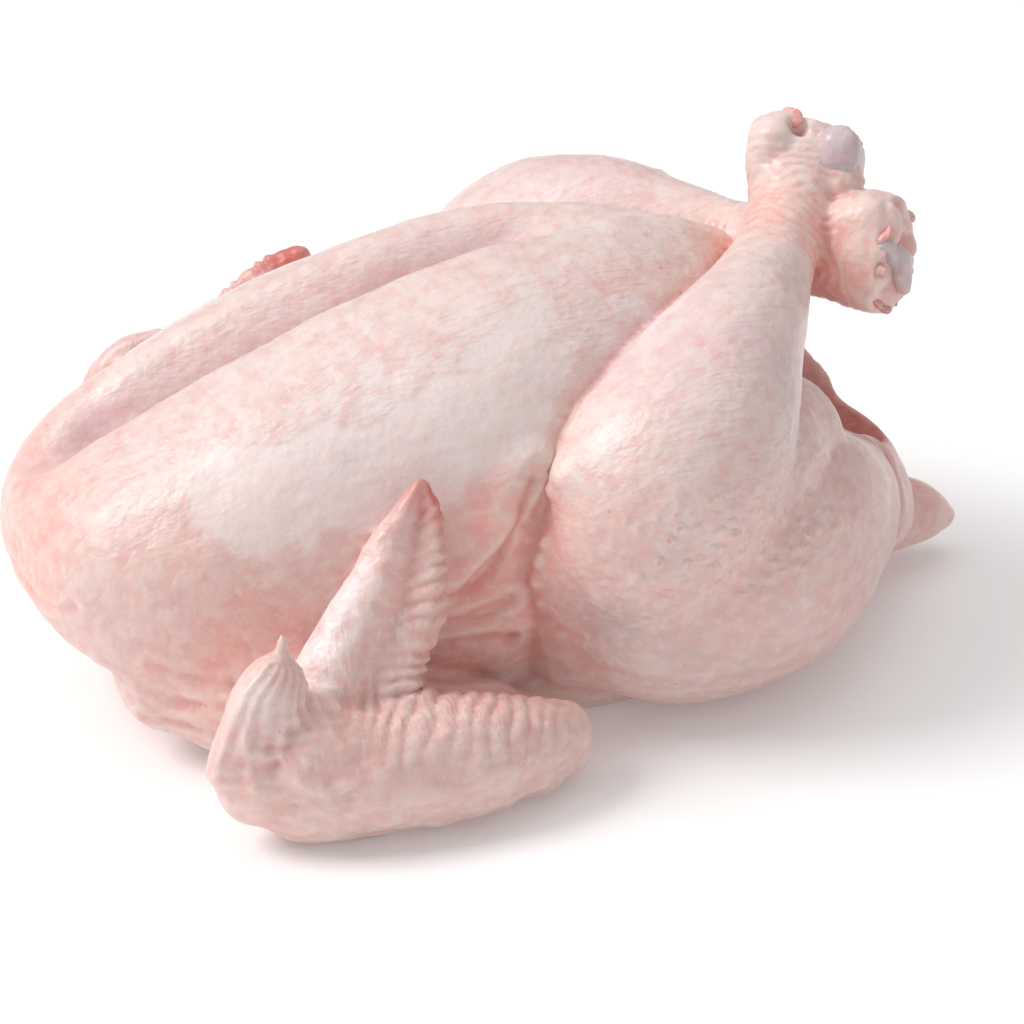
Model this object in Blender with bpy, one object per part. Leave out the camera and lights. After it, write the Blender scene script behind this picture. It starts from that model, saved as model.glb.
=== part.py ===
"""A whole raw chicken, plucked and dressed, lying on its back with its drumsticks crossed.

The tables give lengths in parts of the bird's own length: +X runs from the neck to the tail, -Y is
the bird's near side, +Z is up and the table is z = 0.  The flesh is made of tapered limbs and a
lofted trunk that are fused into one skin; the finished solid stands on the origin by the middle of
its underside.
"""

import math

import bmesh
import bpy
import numpy as np
from mathutils import Vector

# The driving dimension: a bird of about 2.1 kg is 255 mm long from its neck end to the tip of its
# tail, and is drawn 288 units long in the tables below.
LENGTH = 0.255
DRAWN_LENGTH = 288.0
UNIT = LENGTH / DRAWN_LENGTH

# How fine the fused skin is, and how far it is thinned afterwards.
SKIN_VOXEL = 2.6
TRUNK_VOXEL = 4.0
TRIANGLE_SHARE = 0.125
SMOOTH_ROUNDS = 3

# The roundness of a limb's two ends, and the rings that each end is closed with.
ROUND_END = 1.0
CUT_END = 0.4
CAP_RINGS = (0.04, 0.3, 0.55, 0.75, 0.9)

# Trunk: x, top, underside, half width, height of the widest place, depth and width of the groove
# along the breastbone, and how square the upper and the lower half are (2 is an ellipse).
TRUNK = (
    (-111.0, 56, 52, 3, 54, 0, 20, 2.0, 2.0),
    (-109.5, 63, 43, 17, 53, 0, 20, 2.0, 2.0),
    (-105.0, 71, 34, 32, 51, 3, 15, 2.0, 2.0),
    (-94.0, 80, 22, 47, 49, 8, 14, 2.1, 2.1),
    (-76.0, 90, 8, 58, 48, 14, 13, 2.2, 2.2),
    (-46.0, 105, -3, 66, 49, 18, 13, 2.3, 2.4),
    (-16.0, 116, -3, 69, 51, 18, 13, 2.3, 2.5),
    (14.0, 123, -3, 68, 54, 16, 12, 2.3, 2.5),
    (43.0, 127, -3, 63, 56, 11, 11, 2.2, 2.4),
    (70.0, 126, -2, 56, 56, 3, 10, 2.0, 2.3),
    (91.0, 118, 0, 48, 54, 0, 13, 1.8, 2.2),
    (103.0, 98, 2, 44, 46, 0, 13, 1.9, 2.1),
    (116.0, 76, 4, 42, 38, 0, 13, 2.0, 2.1),
    (132.0, 62, 6, 38, 32, 0, 13, 2.2, 2.1),
    (145.0, 53, 9, 33, 29, 0, 13, 2.2, 2.0),
    (155.0, 44, 12, 24, 26, 0, 13, 2.1, 2.0),
    (160.0, 32, 17, 12, 23, 0, 13, 2.0, 2.0),
)

# The bird leans a little, so the groove lies beyond its middle.
GROOVE_SIDE = 9.0

# Limbs: x, y, z of the middle line, then the half width across it and the half thickness.
KEEL = ((46, 0, 104, 6, 8), (62, 0, 111, 7, 9), (80, 0, 115, 8, 9), (97, 0, 109, 8, 9))
TAIL = ((135, 0, 20, 22, 12), (152, 0, 17, 18, 12), (165, 0, 15, 13, 10), (173, 0, 12.5, 8, 7),
        (177, 0, 11, 3.5, 4))
NEAR_FLAP = ((110, -27, 49, 9, 9), (124, -24, 49, 8, 8), (136, -22, 48, 7, 7.5), (143, -21, 43, 6, 7),
             (148, -18, 36, 6, 7), (151, -13, 26, 7, 7))
FAR_FLAP = ((114, 20, 76, 7, 7), (128, 19, 67, 5, 6), (138, 19, 57, 4.5, 6), (143, 18, 46, 5, 6),
            (144, 15, 33, 6, 6))
CAVITY = ((80, 0, 32, 17, 14), (98, 0, 36, 19, 16), (114, 0, 41, 19, 18), (130, 0, 52, 19, 20),
          (146, 0, 67, 21, 22), (164, 0, 84, 23, 24))

NEAR_DRUMSTICK = ((38, -55, 56, 28, 25), (49, -61, 64, 33, 31), (62, -61, 77, 33, 32),
                  (77, -50, 92, 26.5, 27), (95, -33, 105, 17, 19), (109, -17, 112, 12.5, 14),
                  (119, -6, 118, 12.5, 12.5), (126, 3, 124, 15, 13), (131, 10, 131, 17.5, 13),
                  (133, 13, 134, 17.5, 12))
FAR_DRUMSTICK = ((43, 58, 60, 28, 25), (54, 62, 68, 33, 31), (67, 62, 84, 32, 32),
                 (83, 52, 94, 27, 27), (100, 36, 98, 19, 20), (114, 19, 101, 13, 14),
                 (123, 6, 105, 12.5, 13), (132, -5, 108, 14, 15), (139, -14, 110, 15, 17.5),
                 (144, -19, 110, 14, 17.5))
NEAR_HOCK_KNOB = ((120, 8, 130, 8, 8), (120.5, 9, 138, 7.5, 7.5))
NEAR_HOCK_LOBE = ((130, -1, 117, 7.5, 8), (135, -1, 127, 9, 8.5))
FAR_HOCK_KNOB = ((134, -14, 119, 8, 8), (138, -18, 121, 8, 8))
THIGH = ((40, -50, 38, 26, 30), (58, -56, 41, 30, 38), (84, -54, 40, 32, 38),
         (108, -42, 38, 28, 34), (126, -30, 34, 19, 26))
THIGH_TOP = ((48, -56, 52, 28, 30), (80, -54, 62, 27, 30), (102, -40, 62, 20, 26))
THIGH_FOLD = ((28, -46, 11, 12, 11), (40, -47, 13, 15, 14), (60, -47, 14, 15, 14))
SHOULDER = ((-72, -34, 25, 19, 19), (-57, -40, 25, 26, 26), (-38, -42, 25, 27, 27),
            (-20, -38, 26, 24, 26))

UPPER_ARM = ((-58, -44, 38, 18, 18), (-40, -56, 28, 17, 16), (-10, -64, 16, 14, 12),
             (8, -73, 12, 11, 9), (16, -83, 12, 9, 9))
FOREARM = ((-66, -90, 22, 13, 16), (-56, -90, 21, 18, 20), (-38, -91, 18, 20, 18.5),
           (-12, -93, 17, 17.5, 17), (8, -92, 15, 12.5, 14), (19, -90, 14, 8, 11))
NEAR_WING_TIP = ((-42, -83, 24, 18, 10), (-37, -81, 36, 17, 10), (-31, -78, 46, 15.5, 8),
                 (-24, -75.5, 58, 14, 6.5), (-19, -72, 70, 11, 5), (-15.5, -70.5, 81, 6.5, 3.5),
                 (-14, -70, 87.5, 2.5, 2.2))
FAR_WING_TIP = ((-44, 106, 26, 16, 10), (-36, 104, 40, 14, 9), (-27, 100, 54, 12, 8),
                (-16, 96, 67, 10, 6.5), (-5, 93, 79, 7.5, 5), (2, 91, 86, 4, 3.5))
NEAR_THUMB = ((-67, -92, 24, 15, 10), (-65, -92, 38, 12, 8.5), (-62, -91.5, 48, 9, 6.5),
              (-60.5, -91, 53, 5.5, 4), (-59.5, -90.5, 56, 1.8, 1.8), (-59, -90, 60, 0.9, 0.9))
FAR_THUMB = ((-50, 110, 24, 16, 11), (-50, 110, 40, 13, 9), (-46, 110, 50, 9, 7),
             (-38, 110, 56, 4, 4))
# The far wing lies further from the body than the near one.
FAR_UPPER_ARM_MOVE = (7, 10)
FAR_FOREARM_MOVE = (14, 20)

# Which way a limb's thickness points, where it isn't straight up.
NEAR_HOCK_UP = (0.1, -0.6, 0.75)
NEAR_TIP_UP = (-0.2, -0.95, 0.2)
FAR_TIP_UP = (-0.2, 0.95, 0.2)
THUMB_UP = (0, 1, 0)

# The slab of table that flattens the underside.
TABLE_SIZE = 600.0
TABLE_DEPTH = 40.0

SKIN_COLOR = (0.80, 0.56, 0.50, 1.0)
SKIN_ROUGHNESS = 0.4


def smooth_rows(rows, steps):
    """Catmull-Rom curve through the rows of a table, with `steps` rows to each span."""
    p = np.array(rows, float)
    p = np.vstack([2 * p[0] - p[1], p, 2 * p[-1] - p[-2]])
    out = []
    for a, b, c, d in zip(p, p[1:], p[2:], p[3:]):
        for t in np.arange(steps) / steps:
            out.append(0.5 * (2 * b + (c - a) * t + (2 * a - 5 * b + 4 * c - d) * t ** 2
                              + (3 * b - a - 3 * c + d) * t ** 3))
    out.append(p[-2])
    return np.array(out)


def signed_power(values, exponent):
    return np.sign(values) * np.abs(values) ** exponent


def loft(name, rings):
    """A closed mesh through rings of equal length, with a face at each end."""
    bm = bmesh.new()
    loops = [[bm.verts.new(Vector(point) * UNIT) for point in ring] for ring in rings]
    for lower, upper in zip(loops, loops[1:]):
        for i in range(len(lower)):
            j = (i + 1) % len(lower)
            bm.faces.new((lower[i], lower[j], upper[j], upper[i]))
    bm.faces.new(loops[0])
    bm.faces.new(loops[-1])
    bmesh.ops.recalc_face_normals(bm, faces=bm.faces)
    mesh = bpy.data.meshes.new(name)
    bm.to_mesh(mesh)
    bm.free()
    return mesh


def limb(name, stations, up=(0, 0, 1), power=2.0, ends=(ROUND_END, ROUND_END), steps=6, sides=28):
    """A tapered limb of oval sections, closed by rounded ends."""
    rows = smooth_rows(stations, steps)
    centre, radii = rows[:, :3], np.maximum(rows[:, 3:5], 0.5)
    along = np.gradient(centre, axis=0)
    along /= np.linalg.norm(along, axis=1)[:, None]
    side = np.cross(along, np.array(up, float))
    side /= np.linalg.norm(side, axis=1)[:, None]
    over = np.cross(side, along)
    angle = np.arange(sides) * 2 * math.pi / sides
    across = signed_power(np.cos(angle), 2 / power)[:, None]
    thick = signed_power(np.sin(angle), 2 / power)[:, None]

    def section(k, middle, scale):
        return middle + scale * (across * radii[k][0] * side[k] + thick * radii[k][1] * over[k])

    def cap(k, direction, roundness):
        reach = radii[k].min() * roundness
        return [section(k, centre[k] + direction * along[k] * reach * math.sqrt(1 - s * s), s)
                for s in CAP_RINGS]

    body = [section(k, centre[k], 1.0) for k in range(len(centre))]
    return loft(name, cap(0, -1, ends[0]) + body + cap(-1, 1, ends[1])[::-1])


def trunk_mesh(steps=5, sides=56):
    """The lofted trunk, whose upper half is parted by the groove along the breastbone."""
    angle = np.arange(sides) * 2 * math.pi / sides
    cos, sin = np.cos(angle), np.sin(angle)
    upper = sin >= 0
    rings = []
    for x, top, under, half, widest, groove, spread, square_up, square_down in smooth_rows(TRUNK, steps):
        exponent = np.where(upper, 2 / square_up, 2 / square_down)
        y = signed_power(cos, exponent) * max(half, 0.6)
        z = widest + signed_power(sin, exponent) * np.where(upper, top - widest, widest - under)
        z -= groove * np.exp(-((y - GROOVE_SIDE) / spread) ** 2) * np.clip(sin, 0, 1)
        rings.append(np.stack([np.full(sides, x), y, z], axis=1))
    return loft("trunk", rings)


def mirrored(stations, move=(0, 0)):
    """The same limb on the far side, moved by a little along x and y."""
    return tuple((s[0] + move[0], -s[1] + move[1]) + tuple(s[2:]) for s in stations)


def link(name, mesh):
    obj = bpy.data.objects.new(name, mesh)
    bpy.context.scene.collection.objects.link(obj)
    return obj


def joined(name, meshes):
    """One mesh that holds several closed shapes, overlapping each other."""
    bm = bmesh.new()
    for mesh in meshes:
        bm.from_mesh(mesh)
        bpy.data.meshes.remove(mesh)
    mesh = bpy.data.meshes.new(name)
    bm.to_mesh(mesh)
    bm.free()
    return mesh


def fuse(obj, voxel):
    """Melts the shapes that overlap into one closed skin."""
    skin = obj.modifiers.new("fuse", 'REMESH')
    skin.mode = 'VOXEL'
    skin.voxel_size = voxel * UNIT


def cut(obj, cutter):
    cutter.hide_render = True
    cutter.display_type = 'WIRE'
    knife = obj.modifiers.new(cutter.name, 'BOOLEAN')
    knife.operation = 'DIFFERENCE'
    knife.object = cutter
    knife.solver = 'EXACT'


def settled(obj):
    """The mesh that the object's modifiers give."""
    view = bpy.context.evaluated_depsgraph_get()
    return bpy.data.meshes.new_from_object(obj.evaluated_get(view))


def trunk():
    """Trunk, breastbone and tail in one skin, opened from behind by the body cavity."""
    flaps = [limb("near_flap", NEAR_FLAP), limb("far_flap", FAR_FLAP)]
    obj = link("trunk", joined("trunk", [trunk_mesh(), limb("keel", KEEL), limb("tail", TAIL)] + flaps))
    fuse(obj, TRUNK_VOXEL)
    cavity = link("cavity", limb("cavity", CAVITY))
    cut(obj, cavity)
    mesh = settled(obj)
    bpy.data.objects.remove(obj)
    bpy.data.objects.remove(cavity)
    return mesh


def legs():
    return [
        limb("near_drumstick", NEAR_DRUMSTICK, up=NEAR_HOCK_UP, ends=(ROUND_END, CUT_END)),
        limb("far_drumstick", FAR_DRUMSTICK, ends=(ROUND_END, CUT_END)),
        limb("near_hock_knob", NEAR_HOCK_KNOB),
        limb("near_hock_lobe", NEAR_HOCK_LOBE),
        limb("far_hock_knob", FAR_HOCK_KNOB),
        limb("near_thigh", THIGH, power=2.2),
        limb("far_thigh", mirrored(THIGH), power=2.2),
        limb("near_thigh_top", THIGH_TOP),
        limb("far_thigh_top", mirrored(THIGH_TOP)),
        limb("near_thigh_fold", THIGH_FOLD),
        limb("far_thigh_fold", mirrored(THIGH_FOLD)),
    ]


def wings():
    return [
        limb("near_shoulder", SHOULDER),
        limb("far_shoulder", mirrored(SHOULDER)),
        limb("near_upper_arm", UPPER_ARM),
        limb("far_upper_arm", mirrored(UPPER_ARM, FAR_UPPER_ARM_MOVE)),
        limb("near_forearm", FOREARM),
        limb("far_forearm", mirrored(FOREARM, FAR_FOREARM_MOVE)),
        limb("near_wing_tip", NEAR_WING_TIP, up=NEAR_TIP_UP),
        limb("far_wing_tip", FAR_WING_TIP, up=FAR_TIP_UP),
        limb("near_thumb", NEAR_THUMB, up=THUMB_UP),
        limb("far_thumb", FAR_THUMB, up=THUMB_UP),
    ]


def table_slab():
    """What lies below z = 0, which leaves the bird flat where its weight rests."""
    bm = bmesh.new()
    bmesh.ops.create_cube(bm, size=1.0)
    bmesh.ops.scale(bm, verts=bm.verts, vec=Vector((TABLE_SIZE, TABLE_SIZE, TABLE_DEPTH)) * UNIT)
    bmesh.ops.translate(bm, verts=bm.verts, vec=(0, 0, -TABLE_DEPTH / 2 * UNIT))
    mesh = bpy.data.meshes.new("table")
    bm.to_mesh(mesh)
    bm.free()
    return link("table", mesh)


def skin_material():
    material = bpy.data.materials.new("skin")
    material.use_nodes = True
    shader = material.node_tree.nodes["Principled BSDF"]
    shader.inputs["Base Color"].default_value = SKIN_COLOR
    shader.inputs["Roughness"].default_value = SKIN_ROUGHNESS
    shader.inputs["Metallic"].default_value = 0.0
    return material


def stand_on_origin(mesh):
    """Puts the middle of the underside of the mesh's box on the origin."""
    points = np.array([v.co[:] for v in mesh.vertices])
    low, high = points.min(axis=0), points.max(axis=0)
    middle = (low + high) / 2
    for vertex in mesh.vertices:
        vertex.co -= Vector((middle[0], middle[1], low[2]))


def chicken():
    obj = link("chicken", joined("chicken", [trunk()] + legs() + wings()))
    fuse(obj, SKIN_VOXEL)
    smooth = obj.modifiers.new("smooth", 'SMOOTH')
    smooth.iterations = SMOOTH_ROUNDS
    thin = obj.modifiers.new("thin", 'DECIMATE')
    thin.ratio = TRIANGLE_SHARE
    thin.use_collapse_triangulate = True
    slab = table_slab()
    cut(obj, slab)
    mesh = settled(obj)
    obj.modifiers.clear()
    obj.data = mesh
    bpy.data.objects.remove(slab)
    stand_on_origin(mesh)
    mesh.shade_smooth()
    mesh.materials.clear()
    mesh.materials.append(skin_material())


def main():
    for obj in list(bpy.data.objects):
        bpy.data.objects.remove(obj)
    chicken()


main()
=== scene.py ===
"""Looks of the whole raw chicken: its skin in full detail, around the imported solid."""

import math

import bmesh
import bpy
import numpy as np
from mathutils import Matrix, Vector


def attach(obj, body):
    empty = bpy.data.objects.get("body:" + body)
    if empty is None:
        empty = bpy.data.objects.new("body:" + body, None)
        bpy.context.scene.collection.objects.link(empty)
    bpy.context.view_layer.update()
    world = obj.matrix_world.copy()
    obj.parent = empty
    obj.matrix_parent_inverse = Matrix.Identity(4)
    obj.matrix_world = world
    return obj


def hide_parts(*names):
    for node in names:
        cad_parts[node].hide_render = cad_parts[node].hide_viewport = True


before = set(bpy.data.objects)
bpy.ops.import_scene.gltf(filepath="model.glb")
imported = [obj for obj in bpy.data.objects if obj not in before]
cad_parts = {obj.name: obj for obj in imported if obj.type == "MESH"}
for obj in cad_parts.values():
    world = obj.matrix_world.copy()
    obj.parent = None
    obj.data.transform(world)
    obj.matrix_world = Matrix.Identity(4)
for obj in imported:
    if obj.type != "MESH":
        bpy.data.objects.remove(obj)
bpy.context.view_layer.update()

# ---------------------------------------------------------------- dimensions
# The tables are the ones that the solid is made from, in parts of the bird's length.
LENGTH = 0.255
DRAWN_LENGTH = 288.0
UNIT = LENGTH / DRAWN_LENGTH
# Where the middle of the underside of the bird's box lies in the tables.
DRAWN_CENTRE = Vector((33.3, 10.0, 0.0))

SKIN_VOXEL = 0.8
TRUNK_VOXEL = 2.5
MAX_TRIANGLES = 192000

ROUND_END = 1.0
CUT_END = 0.4
CAP_RINGS = (0.04, 0.3, 0.55, 0.75, 0.9)

# Trunk: x, top, underside, half width, height of the widest place, depth and width of the groove
# along the breastbone, and how square the upper and the lower half are (2 is an ellipse).
TRUNK = (
    (-111.0, 56, 52, 3, 54, 0, 20, 2.0, 2.0),
    (-109.5, 63, 43, 17, 53, 0, 20, 2.0, 2.0),
    (-105.0, 71, 34, 32, 51, 3, 15, 2.0, 2.0),
    (-94.0, 80, 22, 47, 49, 8, 14, 2.1, 2.1),
    (-76.0, 90, 8, 58, 48, 14, 13, 2.2, 2.2),
    (-46.0, 105, -3, 66, 49, 18, 13, 2.3, 2.4),
    (-16.0, 116, -3, 69, 51, 18, 13, 2.3, 2.5),
    (14.0, 123, -3, 68, 54, 16, 12, 2.3, 2.5),
    (43.0, 127, -3, 63, 56, 11, 11, 2.2, 2.4),
    (70.0, 126, -2, 56, 56, 3, 10, 2.0, 2.3),
    (91.0, 118, 0, 48, 54, 0, 13, 1.8, 2.2),
    (103.0, 98, 2, 44, 46, 0, 13, 1.9, 2.1),
    (116.0, 76, 4, 42, 38, 0, 13, 2.0, 2.1),
    (132.0, 62, 6, 38, 32, 0, 13, 2.2, 2.1),
    (145.0, 53, 9, 33, 29, 0, 13, 2.2, 2.0),
    (155.0, 44, 12, 24, 26, 0, 13, 2.1, 2.0),
    (160.0, 32, 17, 12, 23, 0, 13, 2.0, 2.0),
)

# The bird leans a little, so the groove lies beyond its middle.
GROOVE_SIDE = 9.0

# Limbs: x, y, z of the middle line, then the half width across it and the half thickness.
KEEL = ((46, 0, 104, 6, 8), (62, 0, 111, 7, 9), (80, 0, 115, 8, 9), (97, 0, 109, 8, 9))
TAIL = ((135, 0, 20, 22, 12), (152, 0, 17, 18, 12), (165, 0, 15, 13, 10), (173, 0, 12.5, 8, 7),
        (177, 0, 11, 3.5, 4))
NEAR_FLAP = ((110, -27, 49, 9, 9), (124, -24, 49, 8, 8), (136, -22, 48, 7, 7.5), (143, -21, 43, 6, 7),
             (148, -18, 36, 6, 7), (151, -13, 26, 7, 7))
FAR_FLAP = ((114, 20, 76, 7, 7), (128, 19, 67, 5, 6), (138, 19, 57, 4.5, 6), (143, 18, 46, 5, 6),
            (144, 15, 33, 6, 6))
CAVITY = ((80, 0, 32, 17, 14), (98, 0, 36, 19, 16), (114, 0, 41, 19, 18), (130, 0, 52, 19, 20),
          (146, 0, 67, 21, 22), (164, 0, 84, 23, 24))

NEAR_DRUMSTICK = ((38, -55, 56, 28, 25), (49, -61, 64, 33, 31), (62, -61, 77, 33, 32),
                  (77, -50, 92, 26.5, 27), (95, -33, 105, 17, 19), (109, -17, 112, 12.5, 14),
                  (119, -6, 118, 12.5, 12.5), (126, 3, 124, 15, 13), (131, 10, 131, 17.5, 13),
                  (133, 13, 134, 17.5, 12))
FAR_DRUMSTICK = ((43, 58, 60, 28, 25), (54, 62, 68, 33, 31), (67, 62, 84, 32, 32),
                 (83, 52, 94, 27, 27), (100, 36, 98, 19, 20), (114, 19, 101, 13, 14),
                 (123, 6, 105, 12.5, 13), (132, -5, 108, 14, 15), (139, -14, 110, 15, 17.5),
                 (144, -19, 110, 14, 17.5))
NEAR_HOCK_KNOB = ((120, 8, 130, 8, 8), (120.5, 9, 138, 7.5, 7.5))
NEAR_HOCK_LOBE = ((130, -1, 117, 7.5, 8), (135, -1, 127, 9, 8.5))
FAR_HOCK_KNOB = ((134, -14, 119, 8, 8), (138, -18, 121, 8, 8))
THIGH = ((40, -50, 38, 26, 30), (58, -56, 41, 30, 38), (84, -54, 40, 32, 38),
         (108, -42, 38, 28, 34), (126, -30, 34, 19, 26))
THIGH_TOP = ((48, -56, 52, 28, 30), (80, -54, 62, 27, 30), (102, -40, 62, 20, 26))
THIGH_FOLD = ((28, -46, 11, 12, 11), (40, -47, 13, 15, 14), (60, -47, 14, 15, 14))
SHOULDER = ((-72, -34, 25, 19, 19), (-57, -40, 25, 26, 26), (-38, -42, 25, 27, 27),
            (-20, -38, 26, 24, 26))

UPPER_ARM = ((-58, -44, 38, 18, 18), (-40, -56, 28, 17, 16), (-10, -64, 16, 14, 12),
             (8, -73, 12, 11, 9), (16, -83, 12, 9, 9))
FOREARM = ((-66, -90, 22, 13, 16), (-56, -90, 21, 18, 20), (-38, -91, 18, 20, 18.5),
           (-12, -93, 17, 17.5, 17), (8, -92, 15, 12.5, 14), (19, -90, 14, 8, 11))
NEAR_WING_TIP = ((-42, -83, 24, 18, 10), (-37, -81, 36, 17, 10), (-31, -78, 46, 15.5, 8),
                 (-24, -75.5, 58, 14, 6.5), (-19, -72, 70, 11, 5), (-15.5, -70.5, 81, 6.5, 3.5),
                 (-14, -70, 87.5, 2.5, 2.2))
FAR_WING_TIP = ((-44, 106, 26, 16, 10), (-36, 104, 40, 14, 9), (-27, 100, 54, 12, 8),
                (-16, 96, 67, 10, 6.5), (-5, 93, 79, 7.5, 5), (2, 91, 86, 4, 3.5))
NEAR_THUMB = ((-67, -92, 24, 15, 10), (-65, -92, 38, 12, 8.5), (-62, -91.5, 48, 9, 6.5),
              (-60.5, -91, 53, 5.5, 4), (-59.5, -90.5, 56, 1.8, 1.8), (-59, -90, 60, 0.9, 0.9))
FAR_THUMB = ((-50, 110, 24, 16, 11), (-50, 110, 40, 13, 9), (-46, 110, 50, 9, 7),
             (-38, 110, 56, 4, 4))
# The far wing lies further from the body than the near one.
FAR_UPPER_ARM_MOVE = (7, 10)
FAR_FOREARM_MOVE = (14, 20)

# Which way a limb's thickness points, where it isn't straight up.
NEAR_HOCK_UP = (0.1, -0.6, 0.75)
NEAR_TIP_UP = (-0.2, -0.95, 0.2)
FAR_TIP_UP = (-0.2, 0.95, 0.2)
THUMB_UP = (0, 1, 0)


def smooth_rows(rows, steps):
    """Catmull-Rom curve through the rows of a table, with `steps` rows to each span."""
    p = np.array(rows, float)
    p = np.vstack([2 * p[0] - p[1], p, 2 * p[-1] - p[-2]])
    out = []
    for a, b, c, d in zip(p, p[1:], p[2:], p[3:]):
        for t in np.arange(steps) / steps:
            out.append(0.5 * (2 * b + (c - a) * t + (2 * a - 5 * b + 4 * c - d) * t ** 2
                              + (3 * b - a - 3 * c + d) * t ** 3))
    out.append(p[-2])
    return np.array(out)


def signed_power(values, exponent):
    return np.sign(values) * np.abs(values) ** exponent


def loft(name, rings):
    """A closed mesh through rings of equal length, with a face at each end."""
    bm = bmesh.new()
    loops = [[bm.verts.new(Vector(point) * UNIT) for point in ring] for ring in rings]
    for lower, upper in zip(loops, loops[1:]):
        for i in range(len(lower)):
            j = (i + 1) % len(lower)
            bm.faces.new((lower[i], lower[j], upper[j], upper[i]))
    bm.faces.new(loops[0])
    bm.faces.new(loops[-1])
    bmesh.ops.recalc_face_normals(bm, faces=bm.faces)
    mesh = bpy.data.meshes.new(name)
    bm.to_mesh(mesh)
    bm.free()
    return mesh


def limb(name, stations, up=(0, 0, 1), power=2.0, ends=(ROUND_END, ROUND_END), steps=6, sides=28):
    """A tapered limb of oval sections, closed by rounded ends."""
    rows = smooth_rows(stations, steps)
    centre, radii = rows[:, :3], np.maximum(rows[:, 3:5], 0.5)
    along = np.gradient(centre, axis=0)
    along /= np.linalg.norm(along, axis=1)[:, None]
    side = np.cross(along, np.array(up, float))
    side /= np.linalg.norm(side, axis=1)[:, None]
    over = np.cross(side, along)
    angle = np.arange(sides) * 2 * math.pi / sides
    across = signed_power(np.cos(angle), 2 / power)[:, None]
    thick = signed_power(np.sin(angle), 2 / power)[:, None]

    def section(k, middle, scale):
        return middle + scale * (across * radii[k][0] * side[k] + thick * radii[k][1] * over[k])

    def cap(k, direction, roundness):
        reach = radii[k].min() * roundness
        return [section(k, centre[k] + direction * along[k] * reach * math.sqrt(1 - s * s), s)
                for s in CAP_RINGS]

    body = [section(k, centre[k], 1.0) for k in range(len(centre))]
    return loft(name, cap(0, -1, ends[0]) + body + cap(-1, 1, ends[1])[::-1])


def trunk_mesh(steps=5, sides=56):
    """The lofted trunk, whose upper half is parted by the groove along the breastbone."""
    angle = np.arange(sides) * 2 * math.pi / sides
    cos, sin = np.cos(angle), np.sin(angle)
    upper = sin >= 0
    rings = []
    for x, top, under, half, widest, groove, spread, square_up, square_down in smooth_rows(TRUNK, steps):
        exponent = np.where(upper, 2 / square_up, 2 / square_down)
        y = signed_power(cos, exponent) * max(half, 0.6)
        z = widest + signed_power(sin, exponent) * np.where(upper, top - widest, widest - under)
        z -= groove * np.exp(-((y - GROOVE_SIDE) / spread) ** 2) * np.clip(sin, 0, 1)
        rings.append(np.stack([np.full(sides, x), y, z], axis=1))
    return loft("trunk", rings)


def mirrored(stations, move=(0, 0)):
    """The same limb on the far side, moved by a little along x and y."""
    return tuple((s[0] + move[0], -s[1] + move[1]) + tuple(s[2:]) for s in stations)


def link(name, mesh):
    obj = bpy.data.objects.new(name, mesh)
    bpy.context.scene.collection.objects.link(obj)
    return obj


def joined(name, meshes):
    """One mesh that holds several closed shapes, overlapping each other."""
    bm = bmesh.new()
    for mesh in meshes:
        bm.from_mesh(mesh)
        bpy.data.meshes.remove(mesh)
    mesh = bpy.data.meshes.new(name)
    bm.to_mesh(mesh)
    bm.free()
    return mesh


def fuse(obj, voxel):
    """Melts the shapes that overlap into one closed skin."""
    skin = obj.modifiers.new("fuse", 'REMESH')
    skin.mode = 'VOXEL'
    skin.voxel_size = voxel * UNIT


def cut(obj, cutter):
    cutter.hide_render = True
    cutter.display_type = 'WIRE'
    knife = obj.modifiers.new(cutter.name, 'BOOLEAN')
    knife.operation = 'DIFFERENCE'
    knife.object = cutter
    knife.solver = 'EXACT'


def settled(obj):
    """The mesh that the object's modifiers give."""
    view = bpy.context.evaluated_depsgraph_get()
    return bpy.data.meshes.new_from_object(obj.evaluated_get(view))



# ---------------------------------------------------------------- the skin's mesh

def trunk():
    flaps = [limb("near_flap", NEAR_FLAP), limb("far_flap", FAR_FLAP)]
    obj = link("trunk", joined("trunk", [trunk_mesh(), limb("keel", KEEL), limb("tail", TAIL)] + flaps))
    fuse(obj, TRUNK_VOXEL)
    cavity = link("cavity", limb("cavity", CAVITY))
    cut(obj, cavity)
    mesh = settled(obj)
    bpy.data.objects.remove(obj)
    bpy.data.objects.remove(cavity)
    return mesh


def legs():
    return [
        limb("near_drumstick", NEAR_DRUMSTICK, up=NEAR_HOCK_UP, ends=(ROUND_END, CUT_END)),
        limb("far_drumstick", FAR_DRUMSTICK, ends=(ROUND_END, CUT_END)),
        limb("near_hock_knob", NEAR_HOCK_KNOB),
        limb("near_hock_lobe", NEAR_HOCK_LOBE),
        limb("far_hock_knob", FAR_HOCK_KNOB),
        limb("near_thigh", THIGH, power=2.2),
        limb("far_thigh", mirrored(THIGH), power=2.2),
        limb("near_thigh_top", THIGH_TOP),
        limb("far_thigh_top", mirrored(THIGH_TOP)),
        limb("near_thigh_fold", THIGH_FOLD),
        limb("far_thigh_fold", mirrored(THIGH_FOLD)),
    ]


def wings():
    return [
        limb("near_shoulder", SHOULDER),
        limb("far_shoulder", mirrored(SHOULDER)),
        limb("near_upper_arm", UPPER_ARM),
        limb("far_upper_arm", mirrored(UPPER_ARM, FAR_UPPER_ARM_MOVE)),
        limb("near_forearm", FOREARM),
        limb("far_forearm", mirrored(FOREARM, FAR_FOREARM_MOVE)),
        limb("near_wing_tip", NEAR_WING_TIP, up=NEAR_TIP_UP),
        limb("far_wing_tip", FAR_WING_TIP, up=FAR_TIP_UP),
        limb("near_thumb", NEAR_THUMB, up=THUMB_UP),
        limb("far_thumb", FAR_THUMB, up=THUMB_UP),
    ]


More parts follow.
